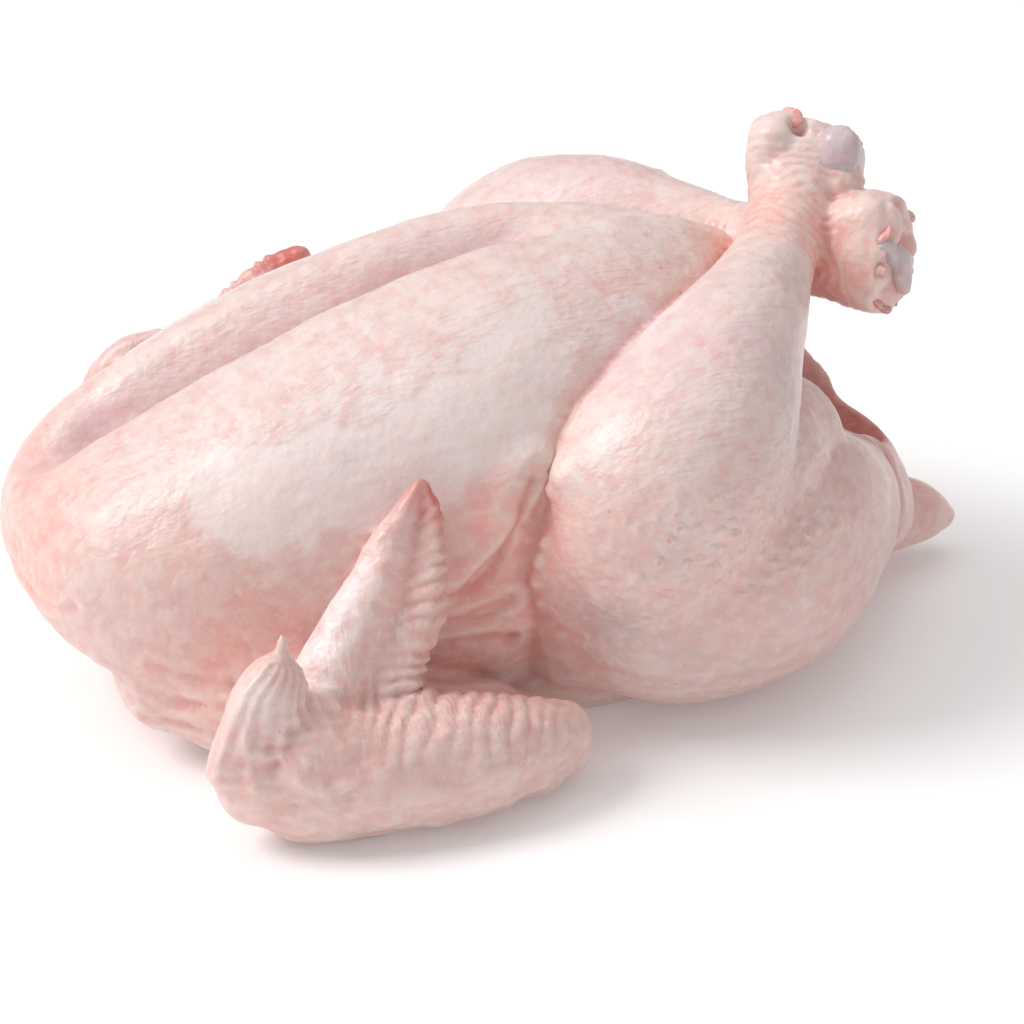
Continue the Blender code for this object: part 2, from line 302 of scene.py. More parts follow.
def fused_skin():
    obj = link("skin_draft", joined("skin_draft", [trunk()] + legs() + wings()))
    fuse(obj, SKIN_VOXEL)
    mesh = settled(obj)
    bpy.data.objects.remove(obj)
    return mesh


class Surface:
    """A mesh's points in drawn units, with what is needed to move them."""

    def __init__(self, mesh):
        self.mesh = mesh
        self.co = np.empty(len(mesh.vertices) * 3, np.float32)
        mesh.vertices.foreach_get("co", self.co)
        self.co = self.co.reshape(-1, 3).astype(float) / UNIT
        edges = np.empty(len(mesh.edges) * 2, np.int32)
        mesh.edges.foreach_get("vertices", edges)
        self.a, self.b = edges.reshape(-1, 2).T
        self.degree = np.bincount(np.concatenate([self.a, self.b]), minlength=len(self.co))

    def write(self):
        self.mesh.vertices.foreach_set("co", (self.co * UNIT).astype(np.float32).ravel())
        self.mesh.update()

    def normals(self):
        self.write()
        out = np.empty(len(self.mesh.vertices) * 3, np.float32)
        self.mesh.vertices.foreach_get("normal", out)
        return out.reshape(-1, 3).astype(float)

    def neighbour_mean(self, values):
        out = np.empty_like(values)
        n = len(values)
        for k in range(values.shape[1]):
            v = values[:, k]
            out[:, k] = (np.bincount(self.a, v[self.b], n) + np.bincount(self.b, v[self.a], n)) / self.degree
        return out

    def smooth(self, weight, rounds):
        """Moves each point towards its neighbours' mean by `weight`, a number or one for each point."""
        w = np.broadcast_to(weight, len(self.co))[:, None]
        for _ in range(rounds):
            self.co += w * (self.neighbour_mean(self.co) - self.co)


# ---------------------------------------------------------------- fields on the surface

def faded(values, start, end):
    """0 where values are at start, 1 where they are at end, smooth between."""
    t = np.clip((values - start) / (end - start), 0, 1)
    return t * t * (3 - 2 * t)


def lattice_hash(cells, seed):
    """A repeatable number from 0 to 1 for each cell of a lattice."""
    h = (cells[..., 0] * 73856093) ^ (cells[..., 1] * 19349663)
    h = h ^ (cells[..., 2] * 83492791) ^ (seed * 2654435761)
    h = (h ^ (h >> 13)) * 1274126177
    h = (h ^ (h >> 16)) & 0xFFFFFF
    return h / float(0xFFFFFF)


def noise(points, size, seed=0):
    """Smooth value noise from -1 to 1, whose lumps are about `size` across."""
    q = points / size + 100.5
    base = np.floor(q).astype(np.int64)
    f = q - base
    f = f * f * f * (f * (f * 6 - 15) + 10)
    total = np.zeros(len(points))
    for corner in range(8):
        step = np.array([corner & 1, corner >> 1 & 1, corner >> 2 & 1])
        weight = np.prod(np.where(step, f, 1 - f), axis=1)
        total += weight * lattice_hash(base + step, seed)
    return total * 2 - 1


def rough(points, size, seed=0, rounds=3, gain=0.5):
    """Noise with finer and finer lumps on top of each other."""
    return sum(gain ** k * noise(points, size / 2 ** k, seed + 7 * k) for k in range(rounds))


def ridged(points, size, seed=0):
    """Noise whose crests are sharp lines, from 0 to 1."""
    return 1 - np.abs(noise(points, size, seed)) * 2


def cells(points, size, seed=0):
    """Distance to the nearest of a scatter of dots about `size` apart, in sizes."""
    q = points / size + 100.5
    base = np.floor(q).astype(np.int64)
    best = np.full(len(points), 9.0)
    for i in (-1, 0, 1):
        for j in (-1, 0, 1):
            for k in (-1, 0, 1):
                cell = base + np.array([i, j, k])
                shake = np.stack([lattice_hash(cell, seed + n) for n in (1, 2, 3)], 1) - 0.5
                best = np.minimum(best, np.sum((q - cell - 0.5 - 0.7 * shake) ** 2, axis=1))
    return np.sqrt(best)


def blob(points, centre, radii):
    """1 at the centre of an ellipsoid, fading to 0 at its edge."""
    d = np.linalg.norm((points - np.array(centre, float)) / np.array(radii, float), axis=1)
    return faded(d, 1.0, 0.0)


def both_sides(points, centre, radii):
    """The same blob on the near and the far side."""
    x, y, z = centre
    return np.maximum(blob(points, (x, y, z), radii), blob(points, (x, -y, z), radii))


def line_distance(points, path):
    """Distance to a smooth curve through the path's points."""
    rows = smooth_rows(path, 10)
    best = np.full(len(points), 1e9)
    near = np.all((points > rows.min(0) - 20) & (points < rows.max(0) + 20), axis=1)
    p = points[near]
    d = np.full(len(p), 1e9)
    for row in rows:
        d = np.minimum(d, np.sum((p - row) ** 2, axis=1))
    best[near] = np.sqrt(d)
    return best


class LimbField:
    """Where each point lies on a limb: how far along (s, in units), across (u) and through it (v)."""

    def __init__(self, points, stations, up=(0, 0, 1), reach=1.5):
        rows = smooth_rows(stations, 8)
        centre, radii = rows[:, :3], rows[:, 3:5]
        along = np.gradient(centre, axis=0)
        lengths = np.linalg.norm(along, axis=1)
        self.length = lengths.sum()
        arc = np.cumsum(lengths) - lengths
        along /= lengths[:, None]
        side = np.cross(along, np.array(up, float))
        side /= np.linalg.norm(side, axis=1)[:, None]
        over = np.cross(side, along)
        margin = radii.max() * reach
        box = np.all((points > centre.min(0) - margin) & (points < centre.max(0) + margin), axis=1)
        self.index = np.nonzero(box)[0]
        p = points[self.index]
        best, pick = np.full(len(p), 1e9), np.zeros(len(p), int)
        for k, c in enumerate(centre):
            d = np.sum((p - c) ** 2, axis=1)
            closer = d < best
            best[closer], pick[closer] = d[closer], k
        offset = p - centre[pick]
        self.u = np.sum(offset * side[pick], axis=1) / radii[pick, 0]
        self.v = np.sum(offset * over[pick], axis=1) / radii[pick, 1]
        self.s = arc[pick] + np.sum(offset * along[pick], axis=1)
        self.part = self.s / self.length
        self.on = faded(np.hypot(self.u, self.v), reach, 1.15) * faded(self.part, -0.25, -0.02)
        self.on *= faded(self.part, 1.25, 1.05)
        self.points = p


# ---------------------------------------------------------------- folds and wrinkles

# Lines of folds in the skin, in drawn units.
BREAST_FOLD = ((-14, -70, 50), (0, -69, 52), (9, -68, 59), (15, -67, 69), (20, -65, 80))
LEG_CREASE = ((92, -8, 116), (72, -27, 115), (54, -42, 110), (33, -53, 99), (21, -62, 84), (15, -67, 68),
              (12, -69, 48), (12, -69, 30), (12, -68, 14))
FLANK_FOLDS = (((-12, -70, 43), (3, -69, 43), (13, -67, 46)),
               ((-14, -70, 36), (0, -69, 35), (13, -67, 34)),
               ((-12, -69, 28), (2, -68, 26), (12, -66, 24)))
SHOULDER_FOLDS = (((-86, -53, 37), (-77, -57, 34), (-66, -63, 33)),
                  ((-88, -48, 27), (-79, -54, 25), (-64, -63, 26)),
                  ((-86, -46, 18), (-79, -51, 17), (-68, -59, 17)),
                  ((-76, -60, 43), (-62, -65, 43), (-48, -69, 41)),
                  ((-96, -38, 30), (-90, -44, 22), (-84, -46, 12)))
NECK_FOLDS = (((-103, -38, 50), (-108, -24, 45), (-110, -4, 47), (-109, 14, 43), (-104, 34, 48)),
              ((-98, -38, 30), (-104, -22, 34), (-106, 0, 31), (-104, 20, 35), (-98, 38, 31)))
FLAP_FOLD = ((143, -22, 54), (146, -27, 45), (147, -31, 35), (144, -33, 24))
LEG_STRIP = ((104, -48, 118), (102, -60, 106), (101, -66, 92), (103, -66, 76))
THIGH_LOBE = ((14, -68, 33), (26, -72, 30), (36, -77, 24), (47, -81, 20), (60, -84, 12))
THIGH_RIDGE = ((30, -84, 50), (40, -90, 58), (50, -92, 60))


def flipped(path):
    return tuple((x, -y, z) for x, y, z in path)


def both_lines(p, path):
    """Distance to a line or to its mirror image on the far side."""
    return np.minimum(line_distance(p, path), line_distance(p, flipped(path)))


def along_groove(p, side, width):
    """1 on the breast's upper side, `side` units beyond the groove's bottom, fading over `width`."""
    part = faded(p[:, 0], -106, -84) * faded(p[:, 0], 66, 24) * faded(p[:, 2], 54, 72)
    sway = 2.5 * np.sin(p[:, 0] / 19.0)
    return part * np.exp(-((p[:, 1] - GROOVE_SIDE - side - sway) / width) ** 2)


def large_folds(p):
    lift = 0.8 * noise(p, 34, 3) + 0.35 * noise(p, 15, 4)
    lift += 1.6 * along_groove(p, -19, 7) + 1.2 * along_groove(p, 17, 7) - 4.2 * along_groove(p, 0, 6)
    wander = 1.2 * noise(p, 9, 5)
    d = both_lines(p, BREAST_FOLD) + wander
    above = faded(p[:, 2] - 0.9 * (p[:, 0] + 10), 42, 50)
    lift += 1.8 * np.exp(-((d - 6) / 4.5) ** 2) * above - 2.6 * np.exp(-(d / 1.8) ** 2)
    lift -= 2.0 * np.exp(-(d / 14) ** 2) * (1 - above) * faded(np.abs(p[:, 1]), 55, 64)
    beads = faded(cells(p, 6.5, 15), 0.5, 0.1) * np.exp(-((both_lines(p, LEG_CREASE) - 6) / 4) ** 2)
    lift += 1.3 * beads * faded(p[:, 2], 26, 50) * faded(p[:, 2], 92, 78) * faded(p[:, 0], 14, 18)
    for path in FLANK_FOLDS + SHOULDER_FOLDS + NECK_FOLDS:
        mirror = both_lines if path not in NECK_FOLDS else line_distance
        d = mirror(p, path) + wander
        lift += 0.6 * np.exp(-((d - 3.4) / 1.8) ** 2) - 1.2 * np.exp(-(d / 1.4) ** 2)
    d = both_lines(p, FLAP_FOLD)
    lift += 0.6 * np.exp(-((d - 3) / 2) ** 2) - 1.6 * np.exp(-(d / 1.5) ** 2)
    lift += 1.2 * np.exp(-(both_lines(p, LEG_STRIP) / 2.2) ** 2)
    lift -= 1.2 * np.exp(-(both_lines(p, THIGH_LOBE) / 2.2) ** 2)
    lift += 1.3 * np.exp(-(both_lines(p, THIGH_RIDGE) / 4.0) ** 2)
    return lift


def wing_tip_relief(p, lift, stations, up, seed):
    """A smooth leading edge, a hollow behind it and a ruffled trailing edge."""
    f = LimbField(p, stations, up)
    q = f.points
    trailing = faded(f.u, 0.05, 0.5)
    ridge = np.sin(2 * math.pi * (f.s - 7 * f.u + 1.4 * noise(q, 7, seed)) / 4.3)
    relief = 0.85 * trailing * ridge * (0.6 + 0.4 * noise(q, 6, seed + 1))
    front = faded(f.v, -0.1, 0.3)
    relief += front * (1.2 * np.exp(-((f.u + 0.5) / 0.35) ** 2) - 2.2 * np.exp(-((f.u - 0.15) / 0.28) ** 2))
    relief += front * 1.2 * faded(f.u, 0.4, 0.75)
    relief += 1.4 * faded(f.part, 0.3, 0.0) * (ridged(q * np.array([1, 1, 0.7]), 8, seed + 2) - 0.4)
    relief += 0.25 * ridged(q * np.array([1, 1, 0.5]), 4, seed + 3)
    lift[f.index] += f.on * relief * faded(f.part, 1.05, 0.85)


def forearm_relief(p, lift, stations, outward, seed):
    """Slanted ridges where the quills sat, a wrinkled wrist and dashes between."""
    f = LimbField(p, stations)
    q = f.points
    out = outward * f.u
    angle = np.degrees(np.arctan2(f.v, out))
    wave = (f.s + 7.5 * out + 2.2 * noise(q, 12, seed)) / 5.2
    ridge = np.abs(np.sin(math.pi * wave)) ** 0.6 - 0.62
    top = faded(angle, 10, 45) * faded(angle, 165, 120)
    along = faded(f.part, 0.2, 0.4) * faded(f.part, 1.02, 0.9)
    relief = 1.1 * top * along * ridge * (0.5 + 0.7 * faded(noise(q, 9, seed + 1), -0.7, 0.5))
    wrist = faded(f.part, 0.42, 0.12) * faded(angle, -70, 10)
    relief += wrist * 1.0 * (ridged(q * np.array([0.8, 0.5, 1.0]), 8, seed + 2) - 0.4)
    relief += 0.4 * wrist * (ridged(q, 4.5, seed + 4) - 0.4)
    relief += 0.6 * noise(q, 8, seed + 5) * faded(angle, 60, 0)
    relief += 0.35 * (ridged(q * np.array([0.35, 1, 1]), 4.0, seed + 3) - 0.3) * faded(angle, 70, 20)
    lift[f.index] += f.on * relief


def thumb_relief(p, lift, stations, seed):
    """Wrinkles along the thumb."""
    f = LimbField(p, stations, THUMB_UP)
    wave = (f.u * 9 + 3.5 * noise(f.points, 10, seed)) / 3.4
    relief = 0.3 * np.sin(2 * math.pi * wave) * faded(f.part, 0.0, 0.3) * faded(f.part, 1.0, 0.8)
    relief += 0.8 * faded(f.part, 0.6, 0.2) * (ridged(f.points, 8, seed + 1) - 0.4)
    lift[f.index] += f.on * relief


def hock_relief(p, lift, stations, up, seed):
    """Fine rings above the hock, and its cut end's lumps and pits."""
    f = LimbField(p, stations, up)
    ring = np.sin(2 * math.pi * (f.s + 3.0 * noise(f.points, 8, seed)) / 3.4)
    relief = 0.22 * ring * faded(f.part, 0.55, 0.75) * faded(f.part, 1.0, 0.92)
    end = faded(f.part, 0.985, 1.01)
    relief += end * (1.8 * (ridged(f.points, 9, seed + 1) - 0.5) + 0.9 * noise(f.points, 4.5, seed + 2))
    lift[f.index] += f.on * relief


# Small pits between the lumps of the cut hocks.
HOCK_PITS = (((127, 5, 143), 4.5, 5.0), ((131, 2, 143), 3.2, 4.0), ((118, 12, 148), 3.0, 2.0),
             ((146, -24, 116), 4.0, 5.0), ((149, -20, 104), 4.5, 4.0))


def fine_relief(p):
    """Follicles and small lumps all over."""
    dots = cells(p, 4.6, 11)
    thigh = faded(np.abs(p[:, 1]), 42, 56) * faded(p[:, 0], 24, 36) * faded(p[:, 0], 125, 105)
    band = 0.15 + 0.85 * faded(np.abs(p[:, 2] - 66), 30, 8)
    lift = 0.36 * faded(dots, 0.5, 0.1) * thigh * band
    breast = faded(p[:, 2], 60, 90) * faded(p[:, 0], 100, 70)
    scales = faded(cells(p * np.array([0.4, 1.0, 1.0]), 3.4, 12), 0.7, 0.1)
    lift += 0.20 * scales * breast * faded(noise(p, 22, 14), -0.5, 0.4)
    return lift + 0.16 * noise(p, 6, 13)


def deepen_folds(surface, rounds):
    """Draws in what is hollow, so that soft joins between limbs become folds."""
    before = surface.co.copy()
    gain = 0.7 + 1.6 * faded(both_lines(before, LEG_CREASE), 12, 4)
    surface.smooth(0.5, rounds)
    detail = before - surface.co
    normal = surface.normals()
    hollow = np.minimum(np.sum(detail * normal, axis=1), 0)
    surface.co = before + (gain * hollow)[:, None] * normal


def softened(p):
    """Where limbs flow into each other without a fold."""
    knee = both_sides(p, (60, -74, 50), (52, 36, 36))
    arm = both_sides(p, (-70, -58, 34), (42, 34, 36))
    base = blob(p, (-46, -88, 36), (18, 16, 16)) + blob(p, (-40, 108, 36), (20, 18, 18))
    keel = blob(p, (80, 0, 118), (34, 16, 14))
    return np.clip(0.9 * knee + 0.9 * arm + 0.3 * base + 0.3 * keel, 0, 0.85)


def sculpt(surface):
    surface.smooth(softened(surface.co), 80)
    deepen_folds(surface, 24)
    surface.co += large_folds(surface.co)[:, None] * surface.normals()
    p = surface.co
    lift = fine_relief(p)
    wing_tip_relief(p, lift, NEAR_WING_TIP, NEAR_TIP_UP, 21)
    wing_tip_relief(p, lift, FAR_WING_TIP, FAR_TIP_UP, 31)
    forearm_relief(p, lift, FOREARM, 1, 41)
    forearm_relief(p, lift, mirrored(FOREARM, FAR_FOREARM_MOVE), -1, 51)
    thumb_relief(p, lift, NEAR_THUMB, 61)
    thumb_relief(p, lift, FAR_THUMB, 62)
    hock_relief(p, lift, NEAR_DRUMSTICK, NEAR_HOCK_UP, 71)
    hock_relief(p, lift, FAR_DRUMSTICK, (0, 0, 1), 72)
    for centre, radius, depth in HOCK_PITS:
        lift -= depth * blob(p, centre, (radius, radius, radius))
    surface.co += lift[:, None] * surface.normals()
    surface.smooth(0.3, 1)

def flatten_underside(surface):
    """The table holds up what would hang below it."""
    surface.co[:, 2] = np.maximum(surface.co[:, 2], 0.0)


def thinned(obj):
    """Fewer triangles where the skin is smooth, within the limit for one piece."""
    triangles = sum(len(face.vertices) - 2 for face in obj.data.polygons)
    thin = obj.modifiers.new("thin", 'DECIMATE')
    thin.ratio = min(1.0, MAX_TRIANGLES / triangles)
    mesh = settled(obj)
    obj.modifiers.clear()
    obj.data = mesh


def build_skin():
    surface = Surface(fused_skin())
    surface.smooth(0.5, 6)
    sculpt(surface)
    flatten_underside(surface)
    surface.write()
    obj = link("chicken_skin", surface.mesh)
    thinned(obj)
    return obj


# ---------------------------------------------------------------- where the skin's tints lie

# The smooth film over the breast runs along these lines, near side first.
FILM = ((-58, -48, 82), (-42, -55, 83), (-22, -59, 86), (-4, -57, 94), (14, -52, 101), (26, -46, 106))


def film_mask(p):
    """Pale film with a ragged edge, torn along its lower side."""
    ragged = 6.0 * noise(p, 13, 81) + 3.0 * noise(p * np.array([1.0, 1.0, 0.6]), 5, 82)
    near = faded(line_distance(p, FILM) + ragged, 16.5, 13.0)
    far = faded(line_distance(p, flipped(FILM)) + ragged, 16.5, 13.0)
    return np.maximum(near, far)


def blush_mask(p):
    mask = 1.1 * blob(p, (-108, 0, 52), (50, 56, 48))
    mask += 0.75 * both_sides(p, (-62, -62, 36), (46, 30, 34))
    mask += 1.2 * both_sides(p, (10, -68, 64), (34, 24, 34))
    mask += 0.8 * both_sides(p, (6, -64, 40), (60, 22, 28))
    mask += 0.9 * blob(p, (104, 0, 110), (26, 22, 26))
    mask += 0.6 * both_sides(p, (58, -30, 114), (34, 16, 18))
    mask += 0.5 * both_sides(p, (34, -70, 16), (30, 30, 20))
    mask += 0.7 * both_sides(p, (138, -16, 46), (26, 24, 30))
    mask += 0.8 * blob(p, (166, 0, 22), (30, 26, 26))
    mask += 0.8 * blob(p, (114, -12, 122), (26, 26, 26)) + 0.8 * blob(p, (134, -20, 112), (32, 30, 34))
    mask += 0.45 * blob(p, (-18, -94, 24), (60, 26, 30)) + 0.45 * blob(p, (-18, 110, 24), (60, 26, 30))
    mask += 0.5 * both_sides(p, (80, -64, 48), (44, 26, 26))
    mask += 0.6 * both_sides(p, (116, -44, 54), (26, 30, 34))
    mask += 0.5 * blob(p, (-26, -76, 60), (22, 18, 34)) + 0.5 * blob(p, (-22, 98, 60), (26, 20, 36))
    return np.clip(mask + 0.22 * noise(p, 16, 83), 0, 1)


def raw_red_and_shade_mask(p):
    """Deeper red: the cavity, the wing tips' ends and the cut hocks, and painted shade on the far leg just
    before its hock.
    """
    mask = 0.3 * blob(p, NEAR_DRUMSTICK[-1][:3], (12, 14, 9))
    mask += 0.7 * blob(p, FAR_DRUMSTICK[-1][:3], (16, 12, 18))
    # Painted shade: dark red on the far leg just before its hock.
    mask += 0.75 * blob(p, (128, -14, 104), (12, 12, 16))
    for tip, up in ((NEAR_WING_TIP, NEAR_TIP_UP), (FAR_WING_TIP, FAR_TIP_UP)):
        f = LimbField(p, tip, up)
        mask[f.index] += f.on * 0.75 * faded(f.part, 0.72, 1.0)
        mask[f.index] += f.on * 0.3 * faded(f.u, 0.5, 0.95) * faded(f.part, 0.1, 0.5)
    f = LimbField(p, CAVITY)
    mask[f.index] = np.maximum(mask[f.index], 0.85 * faded(np.hypot(f.u, f.v), 1.12, 0.97))
    return np.clip(mask, 0, 1) * (1 - 0.75 * blob(p, (144, 20, 54), (20, 16, 30)))


def lilac_and_shade_mask(p):
    mask = 0.9 * both_sides(p, (72, -52, 100), (48, 40, 40))
    # Painted shade along the groove by the breastbone.
    mask += 0.9 * along_groove(p, 1, 10)
    return np.clip(mask + 0.2 * noise(p, 12, 84), 0, 1)


def shade_and_grey_mask(p):
    # Grey skin low on the thighs and behind them, partly painted shade, and greyer towards the bottom.
    mask = 0.9 * both_sides(p, (38, -84, 42), (22, 22, 16)) + 0.6 * both_sides(p, (66, -76, 22), (44, 30, 22))
    mask += 0.5 * both_sides(p, (112, -42, 30), (34, 30, 26)) + 0.4 * faded(p[:, 2], 16, 4)
    # Painted shade in the groove along the breastbone and down the drumsticks' rear edges.
    mask += 0.55 * along_groove(p, 2, 6) + 0.8 * both_sides(p, (92, -74, 96), (12, 18, 30))
    # Painted shade on the near ankle.
    mask += 0.7 * blob(p, (104, -40, 119), (14, 12, 14))
    return np.clip(mask + 0.15 * noise(p, 9, 85), 0, 1)


def follicle_mask(p):
    thigh = faded(np.abs(p[:, 1]), 42, 56) * faded(p[:, 0], 30, 42) * faded(p[:, 0], 112, 96)
    band = faded(np.abs(p[:, 2] - 64), 26, 10)
    arm = both_sides(p, (-10, -96, 30), (44, 20, 24)) + blob(p, (-6, 112, 30), (44, 20, 24))
    far_leg = blob(p, (80, 55, 108), (60, 30, 40))
    return np.clip(thigh * band + 0.4 * arm + 0.3 * far_leg, 0, 1)


def hollows(surface, rounds):
    """How far each point lies below its smoothed surroundings."""
    before = surface.co.copy()
    normal = surface.normals()
    surface.smooth(0.5, rounds)
    hollow = np.sum((surface.co - before) * normal, axis=1)
    surface.co = before
    surface.write()
    return hollow


def cream_mask(p):
    """The paler breast and the upper side of the legs."""
    return faded(p[:, 2] + 4 * noise(p, 14, 86), 62, 96)


def painted_highlight_mask(p):
    """Painted highlight in pale bluish tones on the keel's top, the drumsticks' and the breast's upper sides,
    the near hock, and along the wings' leading edges and on the thumbs.
    """
    mask = 0.8 * blob(p, (68, -2, 126), (28, 13, 16)) + 0.9 * both_sides(p, (62, -42, 112), (26, 22, 18))
    mask += 0.55 * both_sides(p, (-16, -48, 104), (56, 20, 24)) + 0.45 * blob(p, (124, -6, 134), (10, 14, 12))
    for tip, up in ((NEAR_WING_TIP, NEAR_TIP_UP), (FAR_WING_TIP, FAR_TIP_UP)):
        f = LimbField(p, tip, up)
        mask[f.index] += f.on * faded(f.u, -0.25, -0.6) * faded(f.part, 0.75, 0.45)
    mask += 0.6 * blob(p, (-69, -98, 47), (12, 12, 18)) + 0.6 * blob(p, (-52, 112, 48), (14, 12, 18))
    return np.clip(mask + 0.25 * noise(p, 11, 87), 0, 1)


def wing_mask(p):
    near = blob(p, (-28, -88, 34), (70, 30, 66))
    return np.clip(1.6 * (near + blob(p, (-22, 108, 34), (74, 34, 66))), 0, 1)


def streak_mask(p):
    """Where the breast's skin is scored by fine lines."""
    return faded(p[:, 2], 56, 80) * faded(p[:, 0], 104, 84) * (1 - 0.8 * film_mask(p))


TINTS = {"film": film_mask, "cream": cream_mask, "blush": blush_mask, "raw": raw_red_and_shade_mask, "lilac_and_shade": lilac_and_shade_mask,
         "grey_and_shade": shade_and_grey_mask, "painted_highlight": painted_highlight_mask, "wing": wing_mask, "follicles": follicle_mask,
         "streaks": streak_mask}


def add_tints(mesh):
    surface = Surface(mesh)
    tints = {name: mask(surface.co) for name, mask in TINTS.items()}
    hollow = hollows(surface, 8)
    # Painted shade: the hollows and creases are tinted darker red.
    tints["folds"] = faded(hollow, 0.03, 0.6)
    tints["crests"] = faded(hollow, -0.03, -0.4)
    for name, values in tints.items():
        layer = mesh.attributes.new(name, 'FLOAT', 'POINT')
        layer.data.foreach_set("value", values.astype(np.float32))


# ---------------------------------------------------------------- materials

class Nodes:
    """Short names for adding shader nodes and linking them."""

    def __init__(self, material):
        material.use_nodes = True
        self.tree = material.node_tree
        self.shader = self.tree.nodes["Principled BSDF"]
        self.place = self.add('ShaderNodeTexCoord').outputs["Object"]

    def add(self, kind, **settings):
        node = self.tree.nodes.new(kind)
        for name, value in settings.items():
            setattr(node, name, value)
        return node

    def feed(self, socket, value):
        if hasattr(value, "is_linked"):
            self.tree.links.new(value, socket)
        else:
            socket.default_value = value

    def value(self, name):
        return self.add('ShaderNodeAttribute', attribute_name=name).outputs["Fac"]

    def math(self, operation, a, b=0.0):
        node = self.add('ShaderNodeMath', operation=operation)
        self.feed(node.inputs[0], a)
        self.feed(node.inputs[1], b)
        return node.outputs[0]

    def span(self, value, low, high, to_low=0.0, to_high=1.0):
        node = self.add('ShaderNodeMapRange', interpolation_type='SMOOTHSTEP')
        for name, number in (("Value", value), ("From Min", low), ("From Max", high),
                             ("To Min", to_low), ("To Max", to_high)):
            self.feed(node.inputs[name], number)
        return node.outputs["Result"]

    def stretched(self, scale):
        node = self.add('ShaderNodeMapping')
        node.inputs["Scale"].default_value = scale
        self.feed(node.inputs["Vector"], self.place)
        return node.outputs["Vector"]

    def warped(self, amount, spacing, place=None):
        """The place, shaken by noise so that patterns on it run unevenly."""
        shake = self.add('ShaderNodeTexNoise')
        self.feed(shake.inputs["Vector"], place or self.place)
        shake.inputs["Scale"].default_value = 1.0 / spacing
        scale = self.add('ShaderNodeVectorMath', operation='MULTIPLY_ADD')
        self.feed(scale.inputs[0], shake.outputs["Color"])
        scale.inputs[1].default_value = (amount, amount, amount)
        self.feed(scale.inputs[2], place or self.place)
        return scale.outputs["Vector"]

    def noise(self, spacing, detail=2.0, place=None):
        """Noise from 0 to 1 with lumps `spacing` metres across."""
        node = self.add('ShaderNodeTexNoise')
        self.feed(node.inputs["Vector"], place or self.place)
        node.inputs["Scale"].default_value = 1.0 / spacing
        node.inputs["Detail"].default_value = detail
        return node.outputs["Fac"]

    def cells(self, spacing, place=None):
        """Distance to the nearest of a scatter of dots `spacing` metres apart, in spacings."""
        node = self.add('ShaderNodeTexVoronoi')
        self.feed(node.inputs["Vector"], place or self.place)
        node.inputs["Scale"].default_value = 1.0 / spacing
        return node.outputs["Distance"]

    def mix(self, factor, a, b):
        node = self.add('ShaderNodeMix', data_type='RGBA')
        self.feed(node.inputs["Factor"], factor)
        self.feed(node.inputs["A"], a)
        self.feed(node.inputs["B"], b)
        return node.outputs["Result"]

    def bump(self, height, distance):
        node = self.add('ShaderNodeBump')
        node.inputs["Distance"].default_value = distance
        self.feed(node.inputs["Height"], height)
        return node.outputs["Normal"]


def colour(red, green, blue):
    return (red, green, blue, 1.0)


PALE = colour(0.78, 0.50, 0.46)
CREAM = colour(0.86, 0.69, 0.645)
PINK = colour(0.92, 0.41, 0.355)
# Raw red, also used for painted shade on the far leg.
RAW_RED_AND_SHADE = colour(0.66, 0.165, 0.14)
# Lilac skin, also used for painted shade in the breast's groove.
LILAC_AND_SHADE = colour(0.80, 0.54, 0.60)
GRISTLE_BLUE = colour(0.60, 0.52, 0.55)
GRISTLE_PINK = colour(0.70, 0.54, 0.54)
# Grey skin, also used for painted shade.
GREY_AND_SHADE = colour(0.56, 0.485, 0.475)
# Painted shade for the hollows and creases.
FOLD_SHADE = colour(0.66, 0.26, 0.22)
ORANGE = colour(0.72, 0.36, 0.24)
FAT = colour(0.90, 0.735, 0.66)
FILM_WHITE = colour(0.91, 0.79, 0.765)
# Painted highlight.
HIGHLIGHT_WHITE = colour(0.93, 0.84, 0.85)

# How far each pattern of the skin's relief stands up, in metres.
STREAK_HEIGHT = 0.00020
LUMP_HEIGHT = 0.00014
MOTTLE_HEIGHT = 0.00030
PLEAT_HEIGHT = 0.0005
MOUND_HEIGHT = 0.0005


class SkinPatterns:
    """The patterns that both the colour and the relief of the skin follow."""

    def __init__(self, n):
        self.blotches = n.noise(0.0060, 3.0)
        self.mottle = n.noise(0.0026, 3.0)
        grain = n.warped(0.0030, 0.006, n.stretched((0.55, 1.0, 1.0)))
        self.lumps = n.span(n.noise(0.0032, 1.0, grain), 0.36, 0.70)
        follicles = n.cells(0.0040, n.warped(0.0020, 0.007))
        self.follicle_mound = n.math('MULTIPLY', n.span(follicles, 0.55, 0.1), n.value("follicles"))
        self.follicle_dot = n.math('MULTIPLY', n.span(follicles, 0.24, 0.1), n.value("follicles"))
        slant = n.warped(0.0040, 0.008, n.stretched((1.0, 0.3, 0.42)))
        self.pleats = n.math('MULTIPLY', n.noise(0.0017, 2.0, slant), n.value("wing"))


